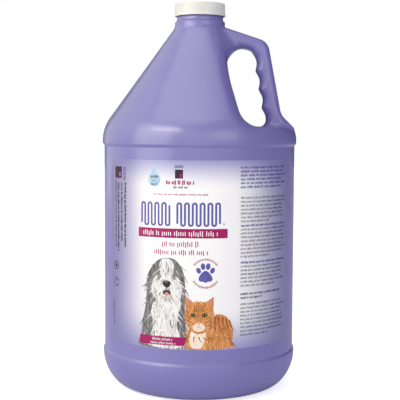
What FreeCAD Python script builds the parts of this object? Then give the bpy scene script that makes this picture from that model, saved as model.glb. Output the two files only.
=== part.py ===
"""One-gallon handled shampoo jug with a screw cap, cap liner and wrap label.

Frame: origin at the centre of the resting ring, +Z up, +X towards the handle, -Y the front.
Millimetres throughout. The mould's parting plane is y = 0.
"""
import FreeCAD, Part
import math
import os

import Sketcher
from FreeCAD import Vector

DIMENSIONS = {
    # blow-moulded body, radii from the jug's axis
    "wall": 1.2,
    "ring_inner": 50.5,
    "ring_outer": 54.5,
    "push_up": 6.0,
    "heel_radius": 76.75,
    "heel_height": 28.2,
    "heel_round": 19.0,
    "heel_land": 1.3,
    "step_height": 2.2,
    "panel_radius": 75.6,
    "panel_top": 191.0,
    "bumper_radius": 77.0,
    "bumper_land": 2.2,
    "shoulder_round": 30.0,
    "cone_angle": 35.81,
    # neck finish, 38 mm nominal
    "ledge_radius": 19.7,
    "ledge_height": 4.5,
    "ledge_bevel": 1.5,
    "neck_radius": 17.4,
    "neck_top": 300.7,
    "bore_radius": 15.2,
    "thread_pitch": 4.23,
    "thread_turns": 1.1,
    "thread_start": 294.4,
    "thread_lag": 1.58,
    "thread_crest": 0.45,
    "thread_foot": 1.0,
    "neck_thread_radius": 18.6,
    "thread_sink": 0.3,
    "bead_radius": 18.2,
    "bead_foot": 290.8,
    "bead_top": 293.4,
    "bead_land": 0.8,
    "bead_chamfer": 0.4,
    # recess beside the handle: a slanted wall and a floor
    "recess_wall_top": 11.6,
    "recess_slant": 15.64,
    "recess_floor": 206.6,
    "recess_round": 8.0,
    "recess_edge_round": 8.0,
    # handle, outline in the parting plane
    "handle_width": 25.0,
    "handle_edge_round": 5.0,
    "handle_root_x": 10.0,
    "handle_top_slope": 18.1,
    "handle_lean": 10.85,
    "handle_corner_x": 53.6,
    "handle_corner_z": 274.0,
    "handle_corner_round": 10.0,
    "handle_foot_x": 64.3,
    "handle_foot_z": 217.8,
    "handle_foot_slope": 48.0,
    "handle_foot_run": 16.5,
    "handle_root_z": 195.0,
    "grip_top_round": 13.0,
    "grip_top_x": 33.2,
    "grip_top_z": 255.3,
    "ridge_x": 43.9,
    "ridge_z": 250.6,
    "ridge_lean": 9.87,
    "groove_radius": 9.3,
    "groove_depth": 2.75,
    "groove_pitch": 14.97,
    # screw cap
    "cap_bottom": 293.2,
    "cap_top": 303.0,
    "cap_radius": 19.7,
    "cap_bead_radius": 20.15,
    "cap_bead_height": 2.2,
    "cap_inner_radius": 18.95,
    "cap_plate": 1.3,
    "cap_edge_round": 0.9,
    "cap_thread_radius": 17.85,
    "rib_count": 90,
    "rib_depth": 0.25,
    "rib_width": 0.6,
    # liner and label
    "liner_radius": 18.7,
    "liner_thickness": 1.0,
    "label_bottom": 42.5,
    "label_top": 182.2,
    "label_film": 0.15,
    "label_gap": 0.03,
    "label_left": 63.2,
    "label_right": 66.0,
}

NAME_COLUMN = "A"
VALUE_COLUMN = "B"
XZ_PLANE = "XZ_Plane"
XY_PLANE = "XY_Plane"
EXTRA = 5.0  # how far a cut or a hidden root runs past what it meets
CLOSE = 0.01  # two lengths nearer than this are the same
HORIZONTAL_AXIS, VERTICAL_AXIS = -1, -2  # a sketch's own axes, by number
START, END, CENTRE = 1, 2, 3  # the points of a sketch's line, arc or circle, by number


def dimension_sheet(doc):
    """The driving dimensions, one alias for each."""
    sheet = doc.addObject("Spreadsheet::Sheet", "Dims")
    for row, (name, value) in enumerate(DIMENSIONS.items(), start=1):
        sheet.set(f"{NAME_COLUMN}{row}", name)
        sheet.set(f"{VALUE_COLUMN}{row}", str(value))
        sheet.setAlias(f"{VALUE_COLUMN}{row}", name)
    doc.recompute()
    return sheet


def named(expression):
    """Prefix each dimension's name in an expression with the sheet's name."""
    words = []
    word = ""
    for letter in expression + " ":
        if letter.isalnum() or letter == "_":
            word += letter
            continue
        words.append(f"Dims.{word}" if word in DIMENSIONS else word)
        words.append(letter)
        word = ""
    return "".join(words).strip()


def origin_plane(body, role):
    return next(plane for plane in body.Origin.OriginFeatures if plane.Role == role)


def new_sketch(body, name, role):
    sketch = body.newObject("Sketcher::SketchObject", name)
    sketch.AttachmentSupport = (origin_plane(body, role), [""])
    sketch.MapMode = "FlatFace"
    return sketch


def pin(sketch, kind, geometry, point, expression):
    """Hold one coordinate of a sketch point at an expression."""
    value = sketch.evalExpression(named(expression))
    if value == 0:
        axis = VERTICAL_AXIS if kind == "DistanceX" else HORIZONTAL_AXIS
        sketch.addConstraint(Sketcher.Constraint("PointOnObject", geometry, point, axis))
        return
    origin = (HORIZONTAL_AXIS, START)
    index = sketch.addConstraint(Sketcher.Constraint(kind, *origin, geometry, point, value))
    sketch.setExpression(f"Constraints[{index}]", named(expression))


def arc_between(start, end, radius, turn):
    """Minor arc from start to end; turn is 1 for anticlockwise travel, -1 for clockwise."""
    chord = end - start
    across = Vector(-chord.y, chord.x, 0) / chord.Length
    offset = math.sqrt(max(radius ** 2 - (chord.Length / 2) ** 2, 0.0))
    centre = (start + end) / 2 + across * offset * turn
    first, last = (start, end) if turn > 0 else (end, start)
    begin = math.atan2(first.y - centre.y, first.x - centre.x)
    finish = math.atan2(last.y - centre.y, last.x - centre.x)
    if finish < begin:
        finish += 2 * math.pi
    return Part.ArcOfCircle(Part.Circle(centre, Vector(0, 0, 1), radius), begin, finish)


def draw_outline(sketch, corners):
    """Draw a closed outline.

    Each corner is (x, y) or (x, y, radius, turn), in expressions: the last two make the
    stretch that follows the corner an arc.
    """
    points = []
    for corner in corners:
        across = sketch.evalExpression(named(corner[0]))
        along = sketch.evalExpression(named(corner[1]))
        points.append(Vector(across, along, 0))
    pieces = []
    for number, corner in enumerate(corners):
        start = points[number]
        end = points[(number + 1) % len(points)]
        if len(corner) == 2:
            pieces.append((sketch.addGeometry(Part.LineSegment(start, end)), START, END))
            continue
        radius = sketch.evalExpression(named(corner[2]))
        arc = sketch.addGeometry(arc_between(start, end, radius, corner[3]))
        begin, finish = (START, END) if corner[3] > 0 else (END, START)
        pieces.append((arc, begin, finish))
        index = sketch.addConstraint(Sketcher.Constraint("Radius", arc, radius))
        sketch.setExpression(f"Constraints[{index}]", named(corner[2]))
    for number, (piece, begin, finish) in enumerate(pieces):
        following = pieces[(number + 1) % len(pieces)]
        joint = Sketcher.Constraint("Coincident", piece, finish, following[0], following[1])
        sketch.addConstraint(joint)
        pin(sketch, "DistanceX", piece, begin, corners[number][0])
        pin(sketch, "DistanceY", piece, begin, corners[number][1])
    return sketch


def bind(item, **expressions):
    for name, expression in expressions.items():
        item.setExpression(name, named(expression))
    return item


def feature(body, kind, name, sketch):
    item = body.newObject(kind, name)
    item.Profile = sketch
    sketch.Visibility = False
    return item


def revolve(body, name, sketch):
    """A full turn of a profile about the jug's axis."""
    item = feature(body, "PartDesign::Revolution", name, sketch)
    item.ReferenceAxis = (sketch, ["V_Axis"])
    item.Angle = 360.0
    return item


def spin_about_axis(body, degrees):
    """Turn a body about the jug's axis by an expression in degrees."""
    body.Placement = FreeCAD.Placement(Vector(), FreeCAD.Rotation(Vector(0, 0, 1), 1))
    body.setExpression("Placement.Rotation.Angle", named(f"({degrees}) * 1 deg"))


def through_cut(body, name, sketch, depth):
    """A pocket to both sides of the parting plane."""
    item = feature(body, "PartDesign::Pocket", name, sketch)
    item.Midplane = True
    item.setExpression("Length", named(depth))
    return item


# ---------------------------------------------------------------- jug

SINE = "sin(cone_angle * 1 deg)"
COSINE = "cos(cone_angle * 1 deg)"
TANGENT = "tan(cone_angle * 1 deg)"
BUMPER_BOTTOM = "(panel_top + step_height)"
SHOULDER_START = "(panel_top + step_height + bumper_land)"
SHOULDER_END_X = f"(bumper_radius - shoulder_round * (1 - {COSINE}))"
SHOULDER_END_Z = f"({SHOULDER_START} + shoulder_round * {SINE})"
LEDGE_BOTTOM = f"({SHOULDER_END_Z} + ({SHOULDER_END_X} - ledge_radius) / {TANGENT})"
HEEL_WIDTH = "(heel_radius - ring_outer)"
HEEL_SIDE_ROUND = (
    f"(({HEEL_WIDTH} ^ 2 + (heel_height - heel_round) ^ 2 - heel_round ^ 2)"
    f" / (2 * ({HEEL_WIDTH} - heel_round)))"
)
KNEE_REACH = f"(({HEEL_SIDE_ROUND} - gap) / ({HEEL_SIDE_ROUND} - heel_round))"
KNEE_X = (
    f"heel_radius - {HEEL_SIDE_ROUND}"
    f" + {KNEE_REACH} * (ring_outer - heel_radius + {HEEL_SIDE_ROUND})"
)
KNEE_Z = f"heel_height + {KNEE_REACH} * (heel_round - heel_height)"
DOME_ROUND = "((ring_inner ^ 2 + push_up ^ 2) / (2 * push_up))"


# half section of the jug's skin, moved inwards by gap, up to the foot of the neck
JUG_PROFILE = [
    ("0", "push_up + gap", DOME_ROUND, -1),
    ("ring_inner", "gap"),
    ("ring_outer", "gap", "heel_round - gap", 1),
    (KNEE_X, KNEE_Z, f"{HEEL_SIDE_ROUND} - gap", 1),
    ("heel_radius - gap", "heel_height"),
    ("heel_radius - gap", "heel_height + heel_land"),
    ("panel_radius - gap", "heel_height + heel_land + step_height"),
    ("panel_radius - gap", "panel_top"),
    ("bumper_radius - gap", BUMPER_BOTTOM),
    ("bumper_radius - gap", SHOULDER_START, "shoulder_round - gap", 1),
    (f"{SHOULDER_END_X} - gap * {COSINE}", f"{SHOULDER_END_Z} - gap * {SINE}"),
]
SKIN_TOP = [
    (f"ledge_radius - gap / {COSINE}", LEDGE_BOTTOM),
    ("0", LEDGE_BOTTOM),
]


def with_gap(outline, gap):
    """Write the value of gap into an outline's expressions."""
    return [tuple(value.replace("gap", gap) if isinstance(value, str) else value
                  for value in corner) for corner in outline]


def recess_outline():
    """Side view of the recess: slanted wall, round corner and floor, open to +X."""
    slope = "tan(recess_slant * 1 deg)"
    wall_x = "(recess_wall_top - gap / cos(recess_slant * 1 deg))"
    floor = "(recess_floor - gap)"
    corner_x = f"({wall_x} + ({LEDGE_BOTTOM} - {floor}) * {slope})"
    corner_round = "(recess_round + gap)"
    setback = f"({corner_round} * tan((90 - recess_slant) / 2 * 1 deg))"
    return [
        (wall_x, LEDGE_BOTTOM),
        (f"{corner_x} - {setback} * sin(recess_slant * 1 deg)",
         f"{floor} + {setback} * cos(recess_slant * 1 deg)", corner_round, 1),
        (f"{corner_x} + {setback}", floor),
        (f"bumper_radius + {EXTRA}", floor),
        (f"bumper_radius + {EXTRA}", LEDGE_BOTTOM),
    ]


def recess_rim(shape):
    """Names of the curved edges where the recess meets the round shoulder and cone."""
    lowest = DIMENSIONS["panel_top"] + 2 * EXTRA
    names = []
    for number, edge in enumerate(shape.Edges, start=1):
        box = edge.BoundBox
        above_bumper = box.ZMin > lowest
        below_neck = box.ZMin < shape.BoundBox.ZMax - EXTRA
        on_recess = box.XMax > DIMENSIONS["recess_wall_top"]
        chord = edge.Vertexes[0].Point.distanceToPoint(edge.Vertexes[-1].Point)
        bowed = edge.Length > chord + CLOSE / 100
        if above_bumper and below_neck and on_recess and bowed:
            names.append(f"Edge{number}")
    return names


def jug_skin(doc, name, gap):
    """The body below the neck with its recess, moved inwards by gap."""
    body = doc.addObject("PartDesign::Body", name)
    profile = draw_outline(new_sketch(body, f"{name}_profile", XZ_PLANE),
                           with_gap(JUG_PROFILE + SKIN_TOP, gap))
    revolve(body, f"{name}_round", profile)
    side = draw_outline(new_sketch(body, f"{name}_recess_side", XZ_PLANE),
                        with_gap(recess_outline(), gap))
    recess = through_cut(body, f"{name}_recess", side, "4 * bumper_radius")
    doc.recompute()
    rim = body.newObject("PartDesign::Fillet", f"{name}_recess_rim")
    rim.Base = (recess, recess_rim(recess.Shape))
    rim.setExpression("Radius", named(f"recess_edge_round - {gap}"))
    doc.recompute()
    return body


# ---------------------------------------------------------------- handle

TOP_SINE = "sin(handle_top_slope * 1 deg)"
TOP_COSINE = "cos(handle_top_slope * 1 deg)"
LEAN_SINE = "sin(handle_lean * 1 deg)"
LEAN_COSINE = "cos(handle_lean * 1 deg)"
FOOT_SINE = "sin(handle_foot_slope * 1 deg)"
FOOT_COSINE = "cos(handle_foot_slope * 1 deg)"
RIDGE_SINE = "sin(ridge_lean * 1 deg)"
RIDGE_COSINE = "cos(ridge_lean * 1 deg)"


def handle_outline():
    """Side view of the handle: foot, back, corner and top run, then the finger hole's side.

    The finger hole is drawn here without its grooves, and both roots end inside the body.
    """
    bend = "(1 + sin((handle_top_slope + handle_lean) * 1 deg))"
    corner_x = f"(handle_corner_x - gap * ({TOP_SINE} + {LEAN_COSINE}) / {bend})"
    corner_z = f"(handle_corner_z - gap * ({TOP_COSINE} + {LEAN_SINE}) / {bend})"
    corner_round = "(handle_corner_round - gap)"
    setback = f"({corner_round} * tan((90 - handle_top_slope - handle_lean) / 2 * 1 deg))"
    flare = "(1 + sin((handle_lean + handle_foot_slope) * 1 deg))"
    foot_x = f"(handle_foot_x - gap * ({LEAN_COSINE} + {FOOT_SINE}) / {flare})"
    foot_z = f"(handle_foot_z - gap * ({LEAN_SINE} + {FOOT_COSINE}) / {flare})"
    foot_end_x = f"({foot_x} + handle_foot_run * {FOOT_COSINE})"
    arch = "(grip_top_round + gap)"
    ridge_at_arch = "(ridge_x + (ridge_z - grip_top_z) * tan(ridge_lean * 1 deg))"
    reach = f"(({ridge_at_arch} - grip_top_x) * {RIDGE_COSINE} + gap)"
    rise = f"sqrt({arch} ^ 2 - {reach} ^ 2)"
    arch_end_z = f"(grip_top_z - {arch} * sin(recess_slant * 1 deg))"
    ridge_fall = "(ridge_z - handle_root_z)"
    return [
        (f"ridge_x + gap / {RIDGE_COSINE} + {ridge_fall} * tan(ridge_lean * 1 deg)",
         "handle_root_z"),
        (foot_end_x, "handle_root_z"),
        (foot_end_x, f"{foot_z} - handle_foot_run * {FOOT_SINE}"),
        (foot_x, foot_z),
        (f"{corner_x} + {setback} * {LEAN_SINE}",
         f"{corner_z} - {setback} * {LEAN_COSINE}", corner_round, 1),
        (f"{corner_x} - {setback} * {TOP_COSINE}", f"{corner_z} + {setback} * {TOP_SINE}"),
        ("handle_root_x",
         f"{corner_z} + ({corner_x} - handle_root_x) * tan(handle_top_slope * 1 deg)"),
        ("handle_root_x", arch_end_z),
        (f"grip_top_x - {arch} * cos(recess_slant * 1 deg)", arch_end_z, arch, -1),
        (f"grip_top_x + {reach} * {RIDGE_COSINE} - {rise} * {RIDGE_SINE}",
         f"grip_top_z + {reach} * {RIDGE_SINE} + {rise} * {RIDGE_COSINE}"),
    ]


def grip_grooves(sketch, gap):
    """Four finger grooves in a leaning row, half a pitch above and below each ridge."""
    for number in range(4):
        along = f"(({number} - 0.5) * groove_pitch)"
        radius = f"groove_radius + {gap}"
        inset = "(groove_radius - groove_depth)"
        centre_x = f"ridge_x + {along} * {RIDGE_SINE} - {inset} * {RIDGE_COSINE}"
        centre_z = f"ridge_z - {along} * {RIDGE_COSINE} - {inset} * {RIDGE_SINE}"
        centre = Vector(sketch.evalExpression(named(centre_x)),
                        sketch.evalExpression(named(centre_z)), 0)
        size = sketch.evalExpression(named(radius))
        circle = sketch.addGeometry(Part.Circle(centre, Vector(0, 0, 1), size))
        index = sketch.addConstraint(Sketcher.Constraint("Radius", circle, size))
        sketch.setExpression(f"Constraints[{index}]", named(radius))
        pin(sketch, "DistanceX", circle, CENTRE, centre_x)
        pin(sketch, "DistanceY", circle, CENTRE, centre_z)
    return sketch


def handle_edges(shape, half_width):
    """Names of the edges around the handle's two flat faces, without the hidden roots."""
    names = []
    for number, edge in enumerate(shape.Edges, start=1):
        box = edge.BoundBox
        on_flat = box.YLength < CLOSE and abs(abs(box.YMin) - half_width) < CLOSE
        at_root = box.ZMax < DIMENSIONS["handle_root_z"] + CLOSE
        in_neck = box.XMax < DIMENSIONS["handle_root_x"] + CLOSE
        if on_flat and not at_root and not in_neck:
            names.append(f"Edge{number}")
    return names


def handle_loop(doc, name, gap):
    """The grip handle as one rounded slab with a finger hole, moved inwards by gap."""
    body = doc.addObject("PartDesign::Body", name)
    sketch = new_sketch(body, f"{name}_side", XZ_PLANE)
    draw_outline(sketch, with_gap(handle_outline(), gap))
    slab = feature(body, "PartDesign::Pad", f"{name}_slab", sketch)
    slab.Midplane = True
    slab.setExpression("Length", named(f"handle_width - 2 * {gap}"))
    doc.recompute()
    half_width = slab.Length.Value / 2
    rounded = body.newObject("PartDesign::Fillet", f"{name}_rounded")
    rounded.Base = (slab, handle_edges(slab.Shape, half_width))
    rounded.setExpression("Radius", named(f"handle_edge_round - {gap}"))
    doc.recompute()
    grooves = grip_grooves(new_sketch(body, f"{name}_groove_side", XZ_PLANE), gap)
    through_cut(body, f"{name}_grooves", grooves, "2 * handle_width")
    doc.recompute()
    return body


# ---------------------------------------------------------------- neck and threads

def thread_section(sketch, foot_radius, crest_radius, middle):
    """Rounded-off trapezoid of a thread, in the half plane of the axis."""
    return draw_outline(sketch, [
        (foot_radius, f"{middle} - thread_foot"),
        (crest_radius, f"{middle} - thread_crest"),
        (crest_radius, f"{middle} + thread_crest"),
        (foot_radius, f"{middle} + thread_foot"),
    ])


def add_thread(body, name, foot_radius, crest_radius, middle):
    """One right-hand thread wound about the jug's axis."""
    section = thread_section(new_sketch(body, f"{name}_section", XZ_PLANE),
                             foot_radius, crest_radius, middle)
    thread = feature(body, "PartDesign::AdditiveHelix", name, section)
    thread.ReferenceAxis = (section, ["V_Axis"])
    thread.Mode = "pitch-turns-angle"
    bind(thread, Pitch="thread_pitch", Turns="thread_turns")
    thread.LeftHanded = False
    return thread


def jug_neck(doc):
    """Ledge, bead, neck and thread, solid: the bore is cut with the jug's inside."""
    body = doc.addObject("PartDesign::Body", "neck_outside")
    profile = draw_outline(new_sketch(body, "neck_profile", XZ_PLANE), [
        ("0", f"{LEDGE_BOTTOM} - wall"),
        ("bore_radius", f"{LEDGE_BOTTOM} - wall"),
        ("ledge_radius", LEDGE_BOTTOM),
        ("ledge_radius", f"{LEDGE_BOTTOM} + ledge_height"),
        ("neck_radius", f"{LEDGE_BOTTOM} + ledge_height + ledge_bevel"),
        ("neck_radius", "bead_foot"),
        ("bead_radius", "bead_top - bead_chamfer - bead_land"),
        ("bead_radius", "bead_top - bead_chamfer"),
        ("neck_radius", "bead_top"),
        ("neck_radius", "neck_top"),
        ("0", "neck_top"),
    ])
    revolve(body, "neck_round", profile)
    doc.recompute()
    add_thread(body, "neck_thread", "neck_radius - thread_sink", "neck_thread_radius",
               "thread_start")
    doc.recompute()
    return body


def neck_bore(doc):
    """The bore, from inside the cone out past the land."""
    bore = doc.addObject("Part::Cylinder", "neck_bore")
    bind(bore, Radius="bore_radius", Height=f"neck_top - {LEDGE_BOTTOM} + 4 * {EXTRA}",
         **{"Placement.Base.z": f"{LEDGE_BOTTOM} - 2 * {EXTRA}"})
    return bore


def make_jug(doc):
    """Skin, handle and neck together, hollowed by the same shapes moved in by the wall."""
    outside = doc.addObject("Part::MultiFuse", "jug_outside")
    outside.Shapes = [jug_skin(doc, "skin_outside", "0"), handle_loop(doc, "handle_outside", "0"),
                      jug_neck(doc)]
    inside = doc.addObject("Part::MultiFuse", "jug_inside")
    inside.Shapes = [jug_skin(doc, "skin_inside", "wall"),
                     handle_loop(doc, "handle_inside", "wall"), neck_bore(doc)]
    jug = doc.addObject("Part::Cut", "jug")
    jug.Base = outside
    jug.Tool = inside
    return jug


# ---------------------------------------------------------------- cap, liner and label

def cap_ribs(doc, body):
    """Fine vertical grooves around the skirt, above its plain bead."""
    sketch = draw_outline(new_sketch(body, "rib_side", XY_PLANE), [
        ("cap_radius - rib_depth", "0"),
        ("cap_radius + rib_depth", "-rib_width / 2"),
        ("cap_radius + rib_depth", "rib_width / 2"),
    ])
    sketch.setExpression("AttachmentOffset.Base.z", named("cap_bottom + cap_bead_height"))
    groove = feature(body, "PartDesign::Pocket", "rib_groove", sketch)
    groove.Reversed = True
    bind(groove, Length="cap_top - cap_bottom - cap_bead_height - cap_edge_round")
    doc.recompute()
    ring = body.newObject("PartDesign::PolarPattern", "rib_ring")
    ring.Originals = [groove]
    ring.Axis = (sketch, ["N_Axis"])
    ring.Angle = 360.0
    bind(ring, Occurrences="rib_count")
    body.Tip = ring
    doc.recompute()
    return ring


def make_cap(doc):
    """Screw cap: ribbed skirt, plain bead at its foot, top plate, internal thread.

    It is turned so that its thread runs just under the neck's.
    """
    body = doc.addObject("PartDesign::Body", "screw_cap")
    profile = draw_outline(new_sketch(body, "cap_profile", XZ_PLANE), [
        ("cap_inner_radius", "cap_bottom"),
        ("cap_bead_radius", "cap_bottom"),
        ("cap_bead_radius", "cap_bottom + cap_bead_height - (cap_bead_radius - cap_radius)"),
        ("cap_radius", "cap_bottom + cap_bead_height"),
        ("cap_radius", "cap_top - cap_edge_round", "cap_edge_round", 1),
        ("cap_radius - cap_edge_round", "cap_top"),
        ("0", "cap_top"),
        ("0", "cap_top - cap_plate"),
        ("cap_inner_radius", "cap_top - cap_plate"),
    ])
    revolve(body, "cap_round", profile)
    doc.recompute()
    add_thread(body, "cap_thread", "cap_inner_radius + thread_sink", "cap_thread_radius",
               "thread_start")
    doc.recompute()
    cap_ribs(doc, body)
    spin_about_axis(body, "thread_lag / thread_pitch * 360")
    return body


def make_liner(doc):
    """Sealing disc between the neck's land and the cap's plate."""
    liner = doc.addObject("Part::Cylinder", "cap_liner")
    bind(liner, Radius="liner_radius", Height="liner_thickness",
         **{"Placement.Base.z": "neck_top"})
    return liner


def make_label(doc):
    """Film label on the front of the panel, an open band of a thin cylinder."""
    body = doc.addObject("PartDesign::Body", "label")
    profile = draw_outline(new_sketch(body, "label_section", XZ_PLANE), [
        ("panel_radius + label_gap", "label_bottom"),
        ("panel_radius + label_gap + label_film", "label_bottom"),
        ("panel_radius + label_gap + label_film", "label_top"),
        ("panel_radius + label_gap", "label_top"),
    ])
    band = feature(body, "PartDesign::Revolution", "label_band", profile)
    band.ReferenceAxis = (profile, ["V_Axis"])
    bind(band, Angle="label_left + label_right")
    doc.recompute()
    spin_about_axis(body, "-(90 + label_left)")
    return body


# ---------------------------------------------------------------- document

def check(doc, parts):
    """Stop if anything in the document failed or a part is not one valid shape."""
    for item in doc.Objects:
        if "Invalid" in item.State or "Error" in item.State:
            raise RuntimeError(f"{item.Label} failed: {item.State}")
        if item.TypeId == "PartDesign::Pocket":
            if item.Shape.Volume > item.BaseFeature.Shape.Volume - CLOSE:
                raise RuntimeError(f"{item.Label} cuts nothing")
    for part in parts:
        if part.Shape.isNull() or not part.Shape.isValid():
            raise RuntimeError(f"{part.Label} has no valid shape")
        if part.Shape.Volume <= 0:
            raise RuntimeError(f"{part.Label} is inside out")


def main():
    doc = FreeCAD.newDocument("shampoo_jug")
    dimension_sheet(doc)
    parts = [make_jug(doc), make_cap(doc), make_liner(doc), make_label(doc)]
    doc.recompute()
    check(doc, parts)
    os.makedirs("parts", exist_ok=True)
    for part in parts:
        part.Shape.exportStep(f"parts/{part.Label}.step")
        print(part.Label, f"{part.Shape.Volume / 1000:.1f} cm3", len(part.Shape.Solids), "solid")


main()
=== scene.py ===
"""Looks of the one-gallon shampoo jug: smooth moulded shell, cap, liner, label and its print."""
import math

import bmesh
import bpy
import numpy as np
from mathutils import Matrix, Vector


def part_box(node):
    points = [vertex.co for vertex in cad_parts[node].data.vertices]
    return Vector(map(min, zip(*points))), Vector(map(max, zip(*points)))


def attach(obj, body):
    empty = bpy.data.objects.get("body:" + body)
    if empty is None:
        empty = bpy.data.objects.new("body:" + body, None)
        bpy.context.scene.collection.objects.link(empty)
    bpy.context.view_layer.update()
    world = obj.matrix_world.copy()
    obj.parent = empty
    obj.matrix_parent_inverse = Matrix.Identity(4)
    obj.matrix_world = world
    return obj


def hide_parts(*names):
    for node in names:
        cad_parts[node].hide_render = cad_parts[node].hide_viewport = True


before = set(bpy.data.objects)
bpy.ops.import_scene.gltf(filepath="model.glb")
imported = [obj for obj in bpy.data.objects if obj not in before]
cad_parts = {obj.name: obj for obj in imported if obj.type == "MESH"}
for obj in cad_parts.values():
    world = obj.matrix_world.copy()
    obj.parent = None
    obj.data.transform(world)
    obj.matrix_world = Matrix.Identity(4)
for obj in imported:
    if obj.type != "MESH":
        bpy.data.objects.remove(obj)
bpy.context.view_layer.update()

MM = 0.001
TURN = 2 * math.pi
DOWN = -math.pi / 2


def add_object(name, data):
    """A new object in the scene."""
    thing = bpy.data.objects.new(name, data)
    bpy.context.scene.collection.objects.link(thing)
    return thing


def low_high(node):
    """A CAD node's box in millimetres."""
    low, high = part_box(node)
    return np.array(low) / MM, np.array(high) / MM


jug_high = low_high("jug")[1]
label_low, label_high = low_high("label")

# ---- sizes, in millimetres

RING_INNER = 50.5
RING_OUTER = 54.5
PUSH_UP = 6.0
HEEL_RADIUS = 76.75
HEEL_HEIGHT = 28.2
HEEL_ROUND = 19.0
HEEL_LAND = 1.3
STEP_HEIGHT = 2.2
PANEL_RADIUS = 75.6
PANEL_TOP = 191.0
BUMPER_RADIUS = jug_high[0]
BUMPER_LAND = 2.2
SHOULDER_ROUND = 30.0
CONE_ANGLE = math.radians(35.81)
SHOULDER_START = PANEL_TOP + STEP_HEIGHT + BUMPER_LAND
LEDGE_RADIUS = 19.7
LEDGE_BOTTOM = 284.5
LEDGE_TOP = 289.0
NECK_RADIUS = 17.4
NECK_TOP = jug_high[2]
BORE_RADIUS = 15.2
BEAD_RADIUS = 18.2
THREAD_RADIUS = 18.6
THREAD_PITCH = 4.23
THREAD_START = 294.4
THREAD_TURNS = 1.1
THREAD_FADE_STEPS = 14

# The hand recess, in side view.
RECESS_SLANT = math.radians(15.64)
RECESS_WALL_TOP = 11.0
RECESS_WALL_LEAST = 20.9
RECESS_WALL_EASE = 4.0
RECESS_FLOOR = 206.6
RECESS_ROUND = 17.0
RECESS_RIM_ROUND = 8.0

# The grip handle. Its fillet against the body changes with the height, and fades at the foot.
HANDLE_HALF_WIDTH = 12.5
HANDLE_EDGE_ROUND = 5.6
HANDLE_TOP_SLOPE = math.radians(18.1)
HANDLE_LEAN = math.radians(10.85)
HANDLE_CORNER = (53.5, 273.2)
HANDLE_CORNER_ROUND = 11.0
HANDLE_FOOT = (64.0, 216.6)
HANDLE_FOOT_SLOPE = math.radians(45.0)
HANDLE_FOOT_ROUND = 1.8
HANDLE_FOOT_SUNK = 0.15
HANDLE_ROOT_X = 12.0
HANDLE_BLEND_HEIGHTS = (214.0, 230.0, 246.0, 269.5, 283.0)
HANDLE_BLENDS = (4.5, 6.0, 15.0, 15.0, 2.0)
FOOT_BLEND_ENDS = (64.0, 74.0)
FOOT_BLEND_SHARES = (1.0, 0.05)

# The finger hole: the middle of its arch, and the leaning ridge that the grooves are cut into.
GRIP_TOP = (33.2, 255.3)
GRIP_TOP_ROUND = 13.0
RIDGE = (43.9, 250.6)
RIDGE_LEAN = math.radians(9.87)
GROOVE_RADIUS = 9.3
GROOVE_DEPTH = 2.75
GROOVE_PITCH = 14.97
GROOVE_COUNT = 4
GROOVE_EDGE_ROUND = 2.6
LEDGE_FILLET = 1.5

# The part of the skin that is meshed from the fields.
BLEND_BOTTOM = SHOULDER_START + 0.6
BLEND_TOP = 287.5
VOXEL = 1.0
FARTHEST_MOVE = 0.6 * VOXEL
ROUND_STEPS = 256


# ---- camera, in metres and degrees

CAMERA_PLACE = (0.0003, -0.7974, 0.2095)
CAMERA_DOWN = 4.44
CAMERA_ROLL = -0.27
CAMERA_LENS = 89.57


def place_camera():
    """A long lens looking slightly down at the middle of the jug from the front."""
    data = bpy.data.cameras.new("camera")
    data.lens = CAMERA_LENS
    camera = add_object("camera", data)
    camera.location = CAMERA_PLACE
    camera.rotation_euler = (math.radians(90 - CAMERA_DOWN), math.radians(CAMERA_ROLL), 0.0)
    bpy.context.scene.camera = camera


# ---- distance fields of the jug

def rounded_corner(across, up, corner, first, second, radius):
    """Signed distance to the convex corner of two half planes, rounded.

    first and second are the directions of the half planes' outward normals.
    """
    n1 = np.array([math.cos(first), math.sin(first)])
    n2 = np.array([math.cos(second), math.sin(second)])
    centre = np.array(corner) - radius * (n1 + n2) / (1 + n1 @ n2)
    u = across - centre[0]
    v = up - centre[1]
    turn = n1[0] * n2[1] - n1[1] * n2[0]
    past_first = (n1[0] * v - n1[1] * u) * turn > 0
    before_second = (u * n2[1] - v * n2[0]) * turn > 0
    side1 = (across - corner[0]) * n1[0] + (up - corner[1]) * n1[1]
    side2 = (across - corner[0]) * n2[0] + (up - corner[1]) * n2[1]
    flat = np.maximum(side1, side2)
    return np.where(past_first & before_second, np.hypot(u, v) - radius, flat)


def filleted(a, b, radius):
    """Union of two fields with a fillet of that radius between them."""
    gap = np.hypot(np.maximum(radius - a, 0), np.maximum(radius - b, 0))
    return np.maximum(radius, np.minimum(a, b)) - gap


def rounded_over(a, b, radius):
    """Intersection of two fields with its edge rounded to that radius."""
    return -filleted(-a, -b, radius)


def cone_corner():
    """Where the bumper's wall and the cone would meet if the shoulder weren't rounded."""
    rise = SHOULDER_ROUND * math.tan(CONE_ANGLE / 2)
    return BUMPER_RADIUS, SHOULDER_START + rise


def shoulder_field(radius, z):
    """The bumper's wall and the cone above it, as a solid turned about the axis."""
    return rounded_corner(radius, z, cone_corner(), 0.0, CONE_ANGLE, SHOULDER_ROUND)


def recess_field(x, z):
    """The hand recess in side view: a floor, a slanted wall, and an upright wall higher up."""
    wall_x = RECESS_WALL_TOP + (LEDGE_BOTTOM - RECESS_FLOOR) * math.tan(RECESS_SLANT)
    wall_normal = math.pi + RECESS_SLANT
    slanted = rounded_corner(x, z, (wall_x, RECESS_FLOOR), wall_normal, 1.5 * math.pi,
                             RECESS_ROUND)
    upright = RECESS_WALL_LEAST - x
    near = np.maximum(RECESS_WALL_EASE - np.abs(slanted - upright), 0)
    return np.maximum(slanted, upright) + near ** 2 / (4 * RECESS_WALL_EASE)


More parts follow.
